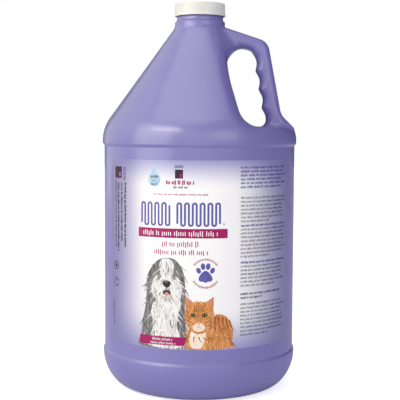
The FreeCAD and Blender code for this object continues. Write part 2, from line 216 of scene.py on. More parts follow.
def hole_field(x, z):
    """The finger hole with its four grooves, in side view, open towards the recess."""
    beyond_ridge = ((x - RIDGE[0]) * math.cos(RIDGE_LEAN)
                    + (z - RIDGE[1]) * math.sin(RIDGE_LEAN))
    top = GRIP_TOP[1] + GRIP_TOP_ROUND
    lean_over = GRIP_TOP_ROUND * (1 - math.sin(RIDGE_LEAN)) / math.cos(RIDGE_LEAN)
    corner = (GRIP_TOP[0] + lean_over, top)
    arch = rounded_corner(x, z, corner, RIDGE_LEAN, math.pi / 2, GRIP_TOP_ROUND)
    hole = np.maximum(arch, beyond_ridge)
    inset = GROOVE_RADIUS - GROOVE_DEPTH
    for number in range(GROOVE_COUNT):
        along = (number - 0.5) * GROOVE_PITCH
        groove_x = RIDGE[0] + along * math.sin(RIDGE_LEAN) - inset * math.cos(RIDGE_LEAN)
        groove_z = RIDGE[1] - along * math.cos(RIDGE_LEAN) - inset * math.sin(RIDGE_LEAN)
        groove = np.hypot(x - groove_x, z - groove_z) - GROOVE_RADIUS
        hole = filleted(hole, groove, GROOVE_EDGE_ROUND)
    return hole


def handle_field(x, y, z):
    """The grip handle: its outline, its foot on the shoulder, and the finger hole taken out."""
    outside = rounded_corner(x, z, HANDLE_CORNER, HANDLE_LEAN,
                             math.pi / 2 - HANDLE_TOP_SLOPE, HANDLE_CORNER_ROUND)
    flank = ((x - HANDLE_FOOT[0]) * math.sin(HANDLE_FOOT_SLOPE)
             + (z - HANDLE_FOOT[1]) * math.cos(HANDLE_FOOT_SLOPE))
    foot = np.maximum(flank, shoulder_field(np.hypot(x, y), z) + HANDLE_FOOT_SUNK)
    side = np.maximum(filleted(outside, foot, HANDLE_FOOT_ROUND), -hole_field(x, z))
    loop = rounded_over(side, np.abs(y) - HANDLE_HALF_WIDTH, HANDLE_EDGE_ROUND)
    return np.maximum(loop, HANDLE_ROOT_X - x)


def jug_field(points):
    """Signed distance, near enough, to the jug's skin from the bumper to the neck's ledge."""
    x, y, z = points[..., 0], points[..., 1], points[..., 2]
    radius = np.hypot(x, y)
    body = rounded_over(shoulder_field(radius, z), -recess_field(x, z), RECESS_RIM_ROUND)
    ledge = np.maximum(radius - LEDGE_RADIUS, LEDGE_BOTTOM - z)
    blend = np.interp(z, HANDLE_BLEND_HEIGHTS, HANDLE_BLENDS)
    blend *= np.interp(radius, FOOT_BLEND_ENDS, FOOT_BLEND_SHARES)
    return filleted(filleted(body, handle_field(x, y, z), blend), ledge, LEDGE_FILLET)


def slope_of(field, points, step=0.05):
    """Gradient of a field by central differences."""
    slope = np.empty_like(points)
    for axis in range(3):
        shift = np.zeros(3)
        shift[axis] = step
        slope[..., axis] = (field(points + shift) - field(points - shift)) / (2 * step)
    return slope


def shifted(block, shift, size):
    """The part of a lattice block that starts at a shift and has a given size."""
    return block[tuple(slice(s, s + n) for s, n in zip(shift, size))]


def edge_crossings(values, cells):
    """Mean place, in voxels from each cell's low corner, where its edges cross zero."""
    total = np.zeros((*cells, 3))
    count = np.zeros(cells)
    for axis in range(3):
        beside = [a for a in range(3) if a != axis]
        for first, second in ((0, 0), (0, 1), (1, 0), (1, 1)):
            start = [0, 0, 0]
            start[beside[0]] = first
            start[beside[1]] = second
            end = list(start)
            end[axis] = 1
            v0 = shifted(values, start, cells)
            v1 = shifted(values, end, cells)
            crossing = (v0 < 0) != (v1 < 0)
            share = np.where(crossing, v0 / np.where(crossing, v0 - v1, 1.0), 0.0)
            total[..., axis] += share
            total[..., beside[0]] += first * crossing
            total[..., beside[1]] += second * crossing
            count += crossing
    return total / np.maximum(count, 1)[..., None], count > 0


def nets_quads(values, number):
    """A quad round every lattice edge that crosses zero, facing outwards."""
    quads = []
    inner = np.array(number.shape) - 1
    for axis in range(3):
        b, c = (axis + 1) % 3, (axis + 2) % 3
        ahead = np.ones(3, int)
        ahead[axis] += 1
        v0 = shifted(values, (1, 1, 1), inner)
        v1 = shifted(values, ahead, inner)
        crossing = (v0 < 0) != (v1 < 0)
        around = []
        for move_b, move_c in ((0, 0), (1, 0), (1, 1), (0, 1)):
            shift = np.ones(3, int)
            shift[b] -= move_b
            shift[c] -= move_c
            around.append(shifted(number, shift, inner)[crossing])
        faces = np.stack(around, -1)
        leaving = (v0 < 0)[crossing]
        quads.append(np.where(leaving[:, None], faces, faces[:, ::-1]))
    quads = np.concatenate(quads)
    return quads[(quads >= 0).all(1)]


def field_surface(field, low, high):
    """Quads of a field's zero surface, each corner moved onto the surface itself."""
    low = np.array(low, float)
    counts = np.ceil((np.array(high) - low) / VOXEL).astype(int) + 1
    axes = [low[i] + VOXEL * np.arange(counts[i]) for i in range(3)]
    values = field(np.stack(np.meshgrid(*axes, indexing="ij"), -1))
    offset, used = edge_crossings(values, tuple(counts - 1))
    number = np.full(used.shape, -1)
    number[used] = np.arange(used.sum())
    points = low + (np.argwhere(used) + offset[used]) * VOXEL
    quads = nets_quads(values, number)
    first = points.copy()
    for _ in range(5):
        slope = slope_of(field, points)
        steepness = np.maximum((slope ** 2).sum(-1, keepdims=True), 0.3)
        points -= field(points)[:, None] * slope / steepness
        points = first + np.clip(points - first, -FARTHEST_MOVE, FARTHEST_MOVE)
    return points, quads


# ---- meshes

def new_mesh(name, points, faces):
    """A mesh object from points in millimetres, shaded smooth."""
    mesh = bpy.data.meshes.new(name)
    mesh.from_pydata([tuple(p) for p in np.asarray(points) * MM], [], [tuple(f) for f in faces])
    mesh.validate()
    mesh.shade_smooth()
    return add_object(name, mesh)


def turned(profile, steps=ROUND_STEPS):
    """Points and quads of a profile of (radius, z) turned about the jug's axis."""
    profile = np.asarray(profile, float)
    angles = np.arange(steps) * TURN / steps
    directions = np.stack([np.cos(angles), np.sin(angles)], -1)
    points = np.empty((len(profile), steps, 3))
    points[..., :2] = profile[:, None, :1] * directions
    points[..., 2] = profile[:, None, 1]
    row, column = np.mgrid[0:len(profile) - 1, 0:steps]
    ahead = (column + 1) % steps
    faces = np.stack([row * steps + column, row * steps + ahead,
                      (row + 1) * steps + ahead, (row + 1) * steps + column], -1)
    return points.reshape(-1, 3), faces.reshape(-1, 4)


def arc_points(centre, radius, first, last, count):
    angles = np.linspace(first, last, count)
    return [(centre[0] + radius * math.cos(a), centre[1] + radius * math.sin(a)) for a in angles]


def smooth_step(value, first, last):
    share = min(max((value - first) / (last - first), 0.0), 1.0)
    return share * share * (3 - 2 * share)


def heel_profile():
    """Push-up, from just beside its middle, resting ring and the two arcs of the heel."""
    dome = (RING_INNER ** 2 + PUSH_UP ** 2) / (2 * PUSH_UP)
    span = math.asin(RING_INNER / dome)
    points = [(dome * math.sin(a), PUSH_UP - dome * (1 - math.cos(a)))
              for a in np.linspace(0.002, span, 24)]
    points += [(RING_INNER + 0.5, 0.0), (RING_OUTER - 0.5, 0.0)]
    width = HEEL_RADIUS - RING_OUTER
    rise = HEEL_HEIGHT - HEEL_ROUND
    side_round = (width ** 2 + rise ** 2 - HEEL_ROUND ** 2) / (2 * (width - HEEL_ROUND))
    knee = math.atan2(-rise, RING_OUTER - HEEL_RADIUS + side_round)
    points += arc_points((RING_OUTER, HEEL_ROUND), HEEL_ROUND, DOWN, knee, 20)
    side_centre = (HEEL_RADIUS - side_round, HEEL_HEIGHT)
    points += arc_points(side_centre, side_round, knee, 0.0, 20)[1:]
    return points


def panel_profile():
    """Lower ridge, label panel, bumper, and the start of the shoulder."""
    lower_step = HEEL_HEIGHT + HEEL_LAND
    points = []
    heights = np.concatenate([
        np.linspace(HEEL_HEIGHT + 0.3, lower_step + STEP_HEIGHT + 0.4, 14),
        np.linspace(lower_step + STEP_HEIGHT + 4, PANEL_TOP - 4, 40),
        np.linspace(PANEL_TOP - 0.4, SHOULDER_START, 16),
    ])
    for z in heights:
        radius = HEEL_RADIUS
        radius -= (HEEL_RADIUS - PANEL_RADIUS) * smooth_step(z, lower_step - 0.4,
                                                             lower_step + STEP_HEIGHT)
        radius += (BUMPER_RADIUS - PANEL_RADIUS) * smooth_step(z, PANEL_TOP,
                                                               PANEL_TOP + STEP_HEIGHT + 0.4)
        points.append((radius, z))
    centre = (BUMPER_RADIUS - SHOULDER_ROUND, SHOULDER_START)
    end = math.asin((BLEND_BOTTOM + 0.3 - SHOULDER_START) / SHOULDER_ROUND)
    return points + arc_points(centre, SHOULDER_ROUND, 0.0, end, 4)[1:]


def neck_profile():
    """Ledge, the wall of the neck that steps in above the bead, its land and its bore."""
    return [
        (LEDGE_RADIUS, BLEND_TOP - 0.3), (LEDGE_RADIUS, LEDGE_TOP - 0.7),
        (LEDGE_RADIUS - 0.1, LEDGE_TOP - 0.3), (LEDGE_RADIUS - 0.45, LEDGE_TOP),
        (BEAD_RADIUS + 0.3, LEDGE_TOP + 0.6), (BEAD_RADIUS + 0.08, LEDGE_TOP + 0.9),
        (BEAD_RADIUS, LEDGE_TOP + 1.4), (BEAD_RADIUS, 292.9),
        (BEAD_RADIUS - 0.25, 293.2), (NECK_RADIUS + 0.1, 293.4), (NECK_RADIUS, 293.7),
        (NECK_RADIUS, NECK_TOP - 0.6), (NECK_RADIUS - 0.15, NECK_TOP - 0.2),
        (NECK_RADIUS - 0.5, NECK_TOP),
        (BORE_RADIUS + 0.5, NECK_TOP), (BORE_RADIUS + 0.15, NECK_TOP - 0.2),
        (BORE_RADIUS, NECK_TOP - 0.6), (BORE_RADIUS, LEDGE_BOTTOM),
    ]


def thread_ridge():
    """The neck's thread: a rounded ridge wound about the axis, fading out at both ends."""
    root = NECK_RADIUS - 0.1
    steps = int(THREAD_TURNS * ROUND_STEPS)
    section = [(-1.0, 0.0), (-0.72, 0.55), (-0.45, 0.93), (-0.2, 1.0),
               (0.2, 1.0), (0.45, 0.93), (0.72, 0.55), (1.0, 0.0)]
    points = []
    for step in range(steps + 1):
        angle = step * TURN / ROUND_STEPS
        fade = smooth_step(min(step, steps - step), 0, THREAD_FADE_STEPS)
        middle = THREAD_START + THREAD_PITCH * step / ROUND_STEPS
        for offset, height in section:
            radius = root + (THREAD_RADIUS - root) * height * fade
            points.append((radius * math.cos(angle), radius * math.sin(angle),
                           middle + offset * (0.35 + 0.65 * fade)))
    width = len(section)
    faces = []
    for step in range(steps):
        for side in range(width - 1):
            corner = step * width + side
            faces.append((corner, corner + width, corner + width + 1, corner + 1))
    return np.array(points), faces


def joined(parts):
    """One list of points and faces from several."""
    points = []
    faces = []
    offset = 0
    for part_points, part_faces in parts:
        points.append(np.asarray(part_points))
        faces += [tuple(int(i) + offset for i in face) for face in part_faces]
        offset += len(part_points)
    return np.concatenate(points), faces


def blended_middle():
    """Shoulder, recess, handle and the foot of the neck as one smooth skin."""
    reach = BUMPER_RADIUS + 3
    points, quads = field_surface(jug_field, (-reach, -reach, BLEND_BOTTOM - 3),
                                  (reach, reach, BLEND_TOP + 3))
    z = points[:, 2][quads]
    inside = (z.max(1) > BLEND_BOTTOM) & (z.min(1) < BLEND_TOP)
    points[:, 2] = np.clip(points[:, 2], BLEND_BOTTOM, BLEND_TOP)
    return points, quads[inside]


def set_field_normals(mesh):
    """Give the blended part of the skin the field's own slope as its normals."""
    places = np.empty(len(mesh.vertices) * 3)
    mesh.vertices.foreach_get("co", places)
    places = places.reshape(-1, 3) / MM
    normals = np.array([tuple(n.vector) for n in mesh.vertex_normals])
    on_field = (places[:, 2] > BLEND_BOTTOM - 0.4) & (places[:, 2] < BLEND_TOP + 0.1)
    slope = slope_of(jug_field, places[on_field])
    normals[on_field] = slope / np.linalg.norm(slope, axis=1, keepdims=True)
    mesh.normals_split_custom_set_from_vertices(normals.tolist())


def make_jug():
    """The whole jug as one skin: base, heel and panel, blended middle, neck and thread."""
    points, quads = turned(heel_profile() + panel_profile())
    middle_of_base = tuple(reversed(range(ROUND_STEPS)))
    shell = joined([
        (points, [*quads, middle_of_base]),
        blended_middle(),
        turned(neck_profile(), 128),
        thread_ridge(),
    ])
    jug = new_mesh("jug_shell", *shell)
    set_field_normals(jug.data)
    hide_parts("jug")
    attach(jug, "bottle")
    return jug


# ---- materials

class Nodes:
    """Short names for building one material's node tree."""

    def __init__(self, name):
        self.material = bpy.data.materials.new(name)
        self.material.use_nodes = True
        self.tree = self.material.node_tree
        self.shader = self.tree.nodes["Principled BSDF"]
        self.place = self.add("ShaderNodeTexCoord").outputs["Object"]

    def add(self, kind, **settings):
        node = self.tree.nodes.new(kind)
        for name, value in settings.items():
            setattr(node, name, value)
        return node

    def feed(self, value, socket):
        """Give a socket a plain value, or link another node's output to it."""
        if isinstance(value, bpy.types.NodeSocket):
            self.tree.links.new(value, socket)
        else:
            socket.default_value = value

    def set(self, name, value):
        self.feed(value, self.shader.inputs[name])

    def noise(self, scale, detail=3.0, place=None):
        node = self.add("ShaderNodeTexNoise")
        node.inputs["Scale"].default_value = scale
        node.inputs["Detail"].default_value = detail
        self.feed(place or self.place, node.inputs["Vector"])
        return node.outputs["Fac"]

    def maths(self, operation, *values):
        node = self.add("ShaderNodeMath", operation=operation)
        for value, socket in zip(values, node.inputs):
            self.feed(value, socket)
        return node.outputs[0]

    def remap(self, value, low, high, to_low, to_high, smooth=False):
        node = self.add("ShaderNodeMapRange")
        if smooth:
            node.interpolation_type = "SMOOTHSTEP"
        for name, number in (("From Min", low), ("From Max", high),
                             ("To Min", to_low), ("To Max", to_high)):
            node.inputs[name].default_value = number
        self.feed(value, node.inputs["Value"])
        return node.outputs["Result"]

    def bump(self, height, distance, strength, below=None):
        node = self.add("ShaderNodeBump")
        node.inputs["Strength"].default_value = strength
        node.inputs["Distance"].default_value = distance
        self.feed(height, node.inputs["Height"])
        if below is not None:
            self.feed(below, node.inputs["Normal"])
        return node.outputs["Normal"]

    def blend_colours(self, share, first, second):
        """Mix two colours, each given as it shows on a screen or as another node's output."""
        node = self.add("ShaderNodeMix", data_type="RGBA")
        self.feed(share, node.inputs["Factor"])
        for name, value in (("A", first), ("B", second)):
            socket = next(s for s in node.inputs if s.name == name and s.type == "RGBA")
            self.feed((*screen(*value), 1.0) if isinstance(value, tuple) else value, socket)
        return next(s for s in node.outputs if s.type == "RGBA")


def screen(red, green, blue):
    """A colour given as it shows on a screen, made linear."""
    def linear(value):
        share = value / 255
        return share / 12.92 if share <= 0.04045 else ((share + 0.055) / 1.055) ** 2.4
    return linear(red), linear(green), linear(blue)


def jug_material():
    """Lavender polyethylene: satin, slightly cloudy, with a faint parting line."""
    n = Nodes("lavender_polyethylene")
    cloud = n.noise(22.0)
    colour = n.blend_colours(cloud, (122, 115, 182), (128, 122, 187))
    n.set("Base Color", colour)
    n.set("Roughness", n.remap(n.noise(60.0), 0.3, 0.7, 0.44, 0.5))
    skin = n.bump(n.noise(900.0, 2.0), 0.00004, 0.5)
    waves = n.bump(n.noise(45.0, 1.0), 0.0004, 0.35, below=skin)
    apart = n.add("ShaderNodeSeparateXYZ")
    n.feed(n.place, apart.inputs[0])
    beside = n.maths("ABSOLUTE", apart.outputs["Y"])
    parting = n.bump(n.remap(beside, 0.0, 0.0004, 1.0, 0.0, True), 0.00012, 0.8, below=waves)
    n.set("Normal", parting)
    n.set("Coat Weight", 0.4)
    n.set("Coat Roughness", 0.17)
    n.set("Subsurface Weight", 0.12)
    n.set("Subsurface Radius", (0.004, 0.0035, 0.005))
    n.set("Subsurface Scale", 1.0)
    n.set("IOR", 1.5)
    return n.material


def cap_material():
    """White polypropylene, a little translucent."""
    n = Nodes("white_polypropylene")
    colour = n.blend_colours(n.noise(90.0), (228, 228, 222), (233, 233, 228))
    n.set("Base Color", colour)
    n.set("Roughness", n.remap(n.noise(160.0), 0.3, 0.7, 0.34, 0.44))
    n.set("Normal", n.bump(n.noise(1400.0, 2.0), 0.00003, 0.5))
    n.set("Subsurface Weight", 0.1)
    n.set("Subsurface Radius", (0.002, 0.002, 0.002))
    n.set("Subsurface Scale", 1.0)
    return n.material


def liner_material():
    """Pale closed-cell foam."""
    n = Nodes("foam_liner")
    colour = n.blend_colours(n.noise(700.0), (226, 226, 222), (240, 240, 238))
    n.set("Base Color", colour)
    n.set("Normal", n.bump(n.noise(2500.0), 0.00008, 0.6))
    n.set("Roughness", 0.8)
    return n.material


def dress(piece, material):
    piece.data.materials.clear()
    piece.data.materials.append(material)


# ---- label and print

LABEL_RADIUS = -label_low[1]
LABEL_LEFT = math.asin(label_low[0] / LABEL_RADIUS) * LABEL_RADIUS
LABEL_RIGHT = math.asin(label_high[0] / LABEL_RADIUS) * LABEL_RADIUS
LABEL_BOTTOM = label_low[2]
LABEL_TOP = label_high[2]

# The print is laid out flat: arc length from the front in mm, then height in mm.
# Each layer lies a little above the film, so that the upper inks cover the lower ones.

FILM_THICKNESS = 0.13
PRINT_MARGIN = 0.3
FACET_WIDTH = 3.0
ON_FILM = 0.05
ON_INK = 0.09
LOCK_STEP = 0.0001

MAGENTA_SHADES = ((158, 6, 92), (170, 12, 102))
WHITE_SHADES = ((240, 238, 242), (248, 246, 250))


def bent(points, lift):
    """Flat points bent round the label, lift above its face."""
    flat = np.asarray(points, float)
    angle = flat[:, 0] / LABEL_RADIUS
    radius = LABEL_RADIUS + lift
    return np.stack([radius * np.sin(angle), -radius * np.cos(angle), flat[:, 1]], -1)


def face_out(outline):
    """The outline run anticlockwise, so that its face looks outwards."""
    s, z = np.asarray(outline, float).T
    area = (s * np.roll(z, -1) - z * np.roll(s, -1)).sum()
    return outline if area > 0 else outline[::-1]


def cut_sheet(sheet, place, normal, trim=False):
    """Cut every face of a flat sheet along a plane, and drop what is beyond it if asked."""
    bmesh.ops.bisect_plane(sheet, geom=sheet.verts[:] + sheet.edges[:] + sheet.faces[:],
                           plane_co=place, plane_no=normal, clear_outer=trim)


def printed(name, layers, materials):
    """Ink as one piece; layers are (outlines, lift, number of the material)."""
    sheet = bmesh.new()
    lift_of = sheet.verts.layers.float.new("lift")
    for outlines, lift, number in layers:
        for outline in outlines:
            corners = [sheet.verts.new((s, z, 0)) for s, z in face_out(outline)]
            for corner in corners:
                corner[lift_of] = lift
            sheet.faces.new(corners).material_index = number
    sheet.normal_update()
    bmesh.ops.triangulate(sheet, faces=sheet.faces[:])
    cut_sheet(sheet, (0, LABEL_BOTTOM + PRINT_MARGIN, 0), (0, -1, 0), trim=True)
    across = [v.co.x for v in sheet.verts]
    first_cut = math.ceil(min(across) / FACET_WIDTH) * FACET_WIDTH
    for cut in np.arange(first_cut, max(across), FACET_WIDTH):
        cut_sheet(sheet, (cut, 0, 0), (1, 0, 0))
    for vertex in sheet.verts:
        place = bent([(vertex.co.x, vertex.co.y)], vertex[lift_of])[0]
        vertex.co = place * MM
    mesh = bpy.data.meshes.new(name)
    sheet.to_mesh(mesh)
    sheet.free()
    mesh.shade_smooth()
    for material in materials:
        mesh.materials.append(material)
    piece = add_object(name, mesh)
    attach(piece, "bottle")


def bar(left, bottom, right, top):
    return [(left, bottom), (right, bottom), (right, top), (left, top)]


def oval(centre, across, up, count=20, tilt=0.0):
    points = []
    for angle in np.arange(count) * TURN / count:
        u = across / 2 * math.cos(angle)
        v = up / 2 * math.sin(angle)
        points.append((centre[0] + u * math.cos(tilt) - v * math.sin(tilt),
                       centre[1] + u * math.sin(tilt) + v * math.cos(tilt)))
    return points


def loop_through(points, between=5):
    """A smooth closed outline through a few points."""
    points = np.asarray(points, float)
    before = np.roll(points, 1, 0)
    after = np.roll(points, -1, 0)
    beyond = np.roll(points, -2, 0)
    rows = []
    for t in np.arange(between) / between:
        rows.append(0.5 * (2 * points + (after - before) * t
                           + (2 * before - 5 * points + 4 * after - beyond) * t * t
                           + (3 * points - before - 3 * after + beyond) * t ** 3))
    return [tuple(p) for p in np.stack(rows, 1).reshape(-1, 2)]


def ring(centre, radius, width):
    return [ring_arc(centre, radius, width, start, start + math.pi) for start in (0, math.pi)]


def ring_arc(centre, radius, width, first, last, count=16):
    outer = arc_points(centre, radius + width / 2, first, last, count)
    inner = arc_points(centre, radius - width / 2, last, first, count)
    return outer + inner


def blade(root, length, direction, width, bend=0.0):
    """One tapered lock of fur from its root towards a direction."""
    left = []
    right = []
    for t in (0.0, 0.35, 0.7):
        angle = direction + bend * t
        along = length * t
        half = width * (1 - t * 0.8) / 2
        x = root[0] + along * math.cos(angle)
        z = root[1] + along * math.sin(angle)
        left.append((x - half * math.sin(angle), z + half * math.cos(angle)))
        right.append((x + half * math.sin(angle), z - half * math.cos(angle)))
    tip = (root[0] + length * math.cos(direction + bend),
           root[1] + length * math.sin(direction + bend))
    return right + [tip] + left[::-1]


def words(rng, left, right, base, height, pitch, stroke, fill=1.0):
    """A line of unreadable small print: short upright ticks grouped like words."""
    ticks = []
    s = left
    end = left + (right - left) * fill
    while s < end:
        for _ in range(rng.integers(2, 9)):
            rise = height * rng.choice([0.72, 0.72, 0.78, 1.0])
            drop = height * rng.choice([0.0, 0.0, 0.0, 0.18])
            ticks.append(bar(s, base - drop, s + stroke, base + rise))
            s += pitch
            if s >= end:
                break
        s += pitch * 0.9
    return ticks


def standing(outlines, s, top):
    """Lay a line of print so that it reads downwards from the top."""
    return [[(s + z, top - along) for along, z in outline] for outline in outlines]


def inside_outline(point, outline):
    s, z = point
    hit = False
    for (s1, z1), (s2, z2) in zip(outline, outline[1:] + outline[:1]):
        if (z1 > z) != (z2 > z) and s < (s2 - s1) * (z - z1) / (z2 - z1) + s1:
            hit = not hit
    return hit


def tufts(rng, outline, count, length, width, direction, spread):
    """Locks of fur scattered over an outline; direction is a function of the place."""
    s, z = np.asarray(outline).T
    locks = []
    while len(locks) < count:
        root = (rng.uniform(s.min(), s.max()), rng.uniform(z.min(), z.max()))
        if not inside_outline(root, outline):
            continue
        heading = direction(*root) + rng.normal(0, spread)
        locks.append(blade(root, length * rng.uniform(0.6, 1.3), heading,
                           width * rng.uniform(0.6, 1.3), rng.normal(0, 0.25)))
    return locks


def fur_layers(rng, groups, direction, start, spread=0.25):
    """Locks over several outlines mixed together, each a little above the one before.

    groups are (outline, number of locks, length, width, number of the ink).
    """
    order = [(lock, number) for outline, count, length, width, number in groups
             for lock in tufts(rng, outline, count, length, width, direction, spread)]
    rng.shuffle(order)
    return [([lock], start + LOCK_STEP * rank, number)
            for rank, (lock, number) in enumerate(order)]


def ink(name, first, second, scale=400.0):
    """Printed ink with the slight mottle of a flexographic print."""
    n = Nodes(name)
    share = n.remap(n.noise(scale, 2.0), 0.35, 0.65, 0.0, 1.0)
    n.set("Base Color", n.blend_colours(share, first, second))
    n.set("Roughness", 0.4)
    n.set("Specular IOR Level", 0.25)
    return n.material


def fur_ink(name, dark, light):
    """Printed fur: streaks that run down the coat."""
    n = Nodes(name)
    stretch = n.add("ShaderNodeMapping")
    stretch.inputs["Scale"].default_value = (1.0, 1.0, 0.22)
    n.feed(n.place, stretch.inputs["Vector"])
    streaks = n.noise(520.0, 4.0, stretch.outputs["Vector"])
    share = n.remap(streaks, 0.32, 0.68, 0.0, 1.0)
    n.set("Base Color", n.blend_colours(share, dark, light))
    n.set("Roughness", 0.42)
    return n.material


def make_label():
    """The printed film: a thin sheet round the panel with rounded corners."""
    corner = 1.5
    columns = np.linspace(LABEL_LEFT, LABEL_RIGHT, 90)
    rows = np.linspace(LABEL_BOTTOM, LABEL_TOP, 8)
    points = []
    for s in columns:
        edge = min(s - LABEL_LEFT, LABEL_RIGHT - s)
        cut = corner - math.sqrt(max(corner ** 2 - max(corner - edge, 0) ** 2, 0))
        for z in rows:
            points.append((s, min(max(z, LABEL_BOTTOM + cut), LABEL_TOP - cut)))
    face = bent(points, 0.0)
    back = bent(points, -FILM_THICKNESS)
    number = np.arange(len(points)).reshape(len(columns), len(rows))
    quads = np.stack([number[:-1, :-1], number[1:, :-1], number[1:, 1:], number[:-1, 1:]], -1)
    faces = quads.reshape(-1, 4).tolist()
    rim = np.concatenate([number[:, 0], number[-1, 1:], number[-2::-1, -1], number[0, -2:0:-1]])
    before = np.roll(rim, 1)
    faces += np.stack([rim, before, before + len(face), rim + len(face)], -1).tolist()
    label = new_mesh("label_film", np.concatenate([face, back]), faces)
    label.data.normals_split_custom_set_from_vertices(
        [tuple(p) for p in np.concatenate([face, back]) * (1, 1, 0) / LABEL_RADIUS])
    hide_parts("label")
    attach(label, "bottle")
    return label


def label_material():
    """White glow in the middle that fades to lavender towards the edges."""
    n = Nodes("label_film_print")
    apart = n.add("ShaderNodeSeparateXYZ")
    n.feed(n.place, apart.inputs[0])
    across = apart.outputs["X"]
    up = apart.outputs["Z"]
    left = n.remap(across, -0.068, -0.030, 0.0, 1.0, True)
    right = n.remap(across, 0.071, 0.026, 0.0, 1.0, True)
    top = n.remap(up, 0.188, 0.160, 0.0, 1.0, True)
    bottom = n.remap(up, 0.034, 0.074, 0.0, 1.0, True)
    mottle = n.remap(n.noise(500.0, 2.0), 0.3, 0.7, 0.97, 1.0)
    middle = n.blend_colours(n.maths("MULTIPLY", top, bottom),
                             (134, 131, 196), (252, 251, 251))
    inwards = n.maths("MULTIPLY", n.maths("MULTIPLY", left, right), mottle)
    n.set("Base Color", n.blend_colours(inwards, (124, 118, 174), middle))
    n.set("Normal", n.bump(n.noise(120.0, 1.0), 0.00006, 0.3))
    n.set("Roughness", 0.36)
    n.set("Coat Weight", 0.15)
    n.set("Coat Roughness", 0.3)
    return n.material


def title_waves():
    """Two even waves of tall narrow strokes, standing where the name would be."""
    low, high = 135.9, 149.4
    width, pitch = 1.5, 2.85
    outlines = []
    for start, count in ((-45.6, 9), (-16.8, 12)):
        for number in range(count):
            s = start + pitch * number
            outlines.append(bar(s, low, s + width, high))
            if number == count - 1:
                continue
            middle = s + (width + pitch) / 2
            if number % 2:
                outlines.append(ring_arc((middle, low), pitch / 2, width, math.pi, TURN))
            else:
                outlines.append(ring_arc((middle, high), pitch / 2, width, 0.0, math.pi))
    return outlines


def paw_print():
    toes = [oval((-0.2, 101.6), 3.3, 4.6, tilt=0.45), oval((3.0, 104.6), 3.3, 4.9, tilt=0.12),
            oval((6.8, 104.6), 3.3, 4.9, tilt=-0.12), oval((10.0, 101.6), 3.3, 4.6, tilt=-0.45)]
    pad = loop_through([(4.9, 101.6), (1.9, 99.6), (-0.2, 95.9), (0.7, 93.7), (3.2, 93.4),
                        (4.9, 92.6), (6.6, 93.4), (9.1, 93.7), (10.0, 95.9), (7.9, 99.6)])
    return [*toes, pad]


def spokes_round_paw(rng):
    """Short dashes in two arcs above and below the paw."""
    degrees = [*np.arange(38, 146, 6.5), *np.arange(214, 330, 6.5)]
    spokes = []
    for angle in np.radians(degrees):
        middle = (4.9 + 10.4 * math.cos(angle), 99.4 + 10.4 * math.sin(angle))
        spokes.append(oval(middle, 0.75, rng.choice([1.6, 2.0]), 8, angle - math.pi / 2))
    return spokes


def print_front(rng):
    """Waves in place of a name, a ribbon, lines of print, a small badge, a drop and a paw."""
    violet, magenta, white, rose, plum, water = range(6)
    inks = [ink("ink_violet", (90, 84, 160), (100, 94, 170)),
            ink("ink_magenta", *MAGENTA_SHADES),
            ink("ink_white", *WHITE_SHADES),
            ink("ink_rose", (176, 52, 112), (188, 66, 124)),
            ink("ink_plum", (38, 26, 40), (52, 36, 54)),
            ink("ink_water", (158, 196, 222), (196, 222, 236), 90.0)]
    drop = loop_through([(-34.4, 179.4), (-35.6, 175.2), (-39.4, 169.6), (-38.4, 164.6),
                         (-34.4, 162.6), (-30.4, 164.6), (-29.4, 169.6), (-33.2, 175.2)], 6)
    rings = [half for s in (-17.2, -15, -12.8) for half in ring((s, 177.6), 0.8, 0.45)]
    layers = [
        (title_waves(), ON_FILM, violet),
        ([bar(-48.0, 125.3, 21.2, 132.2)], ON_FILM, magenta),
        ([bar(-17.9, 168.9, -11.9, 175.4)], ON_FILM, plum),
        ([bar(-14.4, 169.6, -12.5, 172.4)], ON_INK, magenta),
        (rings, ON_FILM, plum),
        ([drop], ON_FILM, water),
        (paw_print(), ON_FILM, violet),
        (spokes_round_paw(rng), ON_FILM, magenta),
    ]
    # left end, right end, base, height, pitch, stroke, lift, ink
    lines = [
        (-43.6, 14.6, 127.0, 3.6, 1.6, 0.7, ON_INK, white),
        (-27.8, -0.6, 119.0, 4.0, 1.5, 0.75, ON_FILM, rose),
        (-34.0, 6.2, 113.1, 3.6, 1.5, 0.75, ON_FILM, rose),
        (-35.0, 7.2, 156.7, 1.3, 0.8, 0.5, ON_FILM, rose),
        (-24.8, -4.4, 164.6, 3.0, 1.15, 0.85, ON_FILM, magenta),
        (-19.0, -9.0, 161.8, 1.6, 0.9, 0.6, ON_FILM, plum),
        (-37.4, -31.6, 169.2, 2.0, 0.95, 0.62, ON_INK, plum),
        (-36.2, -32.8, 166.8, 1.2, 0.95, 0.4, ON_INK, plum),
        (-36.6, -32.2, 163.8, 1.7, 0.95, 0.55, ON_INK, plum),
        (17.6, 19.6, 135.2, 1.3, 0.6, 0.25, ON_FILM, violet),
    ]
    layers += [(words(rng, *line), lift, number) for *line, lift, number in lines]
    printed("print_front", layers, inks)


def right_side_lines(rng, dark, violet):
    """A violet heading and five paragraphs of small print, right of the front."""
    pitch = 2.87
    layers = []
    for number in range(6):
        layers.append((words(rng, 31.4, 79, 176.2 - pitch * number, 1.75, 0.95, 0.6,
                             fill=rng.uniform(0.78, 1.0)), ON_FILM, violet))
    paragraphs = [(153.9, 7, "plain"), (133.4, 9, "headed"), (106.0, 7, "headed"),
                  (82.6, 2, "bold"), (75.0, 9, "plain")]
    for top, count, kind in paragraphs:
        for number in range(count):
            heading = kind == "headed" and number == 0
            bold = kind == "bold" or heading
            shortest, longest = (0.35, 0.7) if number == count - 1 else (0.86, 1.0)
            fill = rng.uniform(shortest, longest)
            reach = 72.5 if kind == "bold" else 78.5
            line = words(rng, 31.7, reach, top - pitch * number, 1.55, 0.8,
                         0.55 if bold else 0.4, fill)
            layers.append((line, ON_FILM, violet if heading else dark))
    return layers


